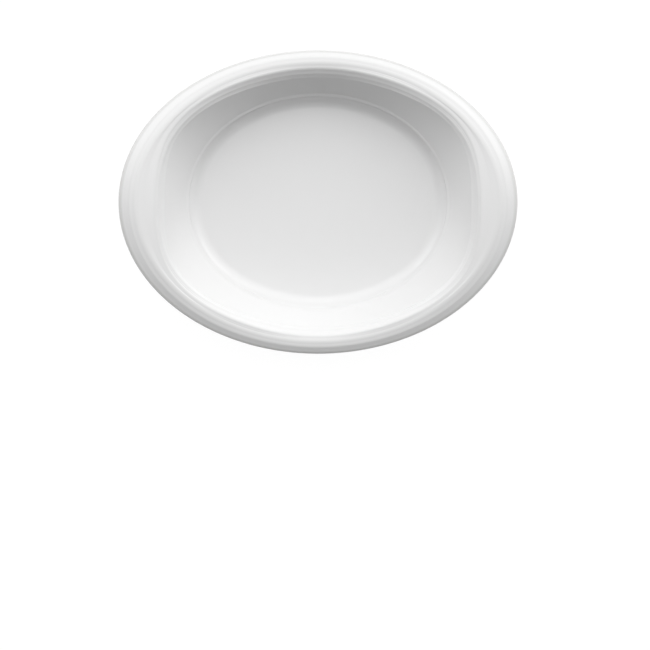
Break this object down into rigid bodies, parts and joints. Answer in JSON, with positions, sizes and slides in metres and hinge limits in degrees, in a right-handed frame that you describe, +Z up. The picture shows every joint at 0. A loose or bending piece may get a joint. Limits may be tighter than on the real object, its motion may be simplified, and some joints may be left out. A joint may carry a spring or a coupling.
{
  "type": "gratin dish",
  "caption": "Oval porcelain gratin dish with sloping walls and a saddle-shaped rim, drawn up at each end into a lug to lift it by.",
  "frame": {"origin": "centre of the plane that the standing ring rests on, at the bottom centre of the bounding box", "axes": "+X towards one lug, along the longest extent; +Y across the dish; +Z up"},
  "size_m": [0.25, 0.194, 0.0461],
  "materials": {
    "bare_porcelain": "matte, fired and unglazed",
    "clear_white_glaze": "gloss"
  },
  "bodies": {
    "root": {"porcelain_body": "bare_porcelain", "glaze_coat": "clear_white_glaze", "glaze_underside": "clear_white_glaze"}
  },
  "joints": []
}
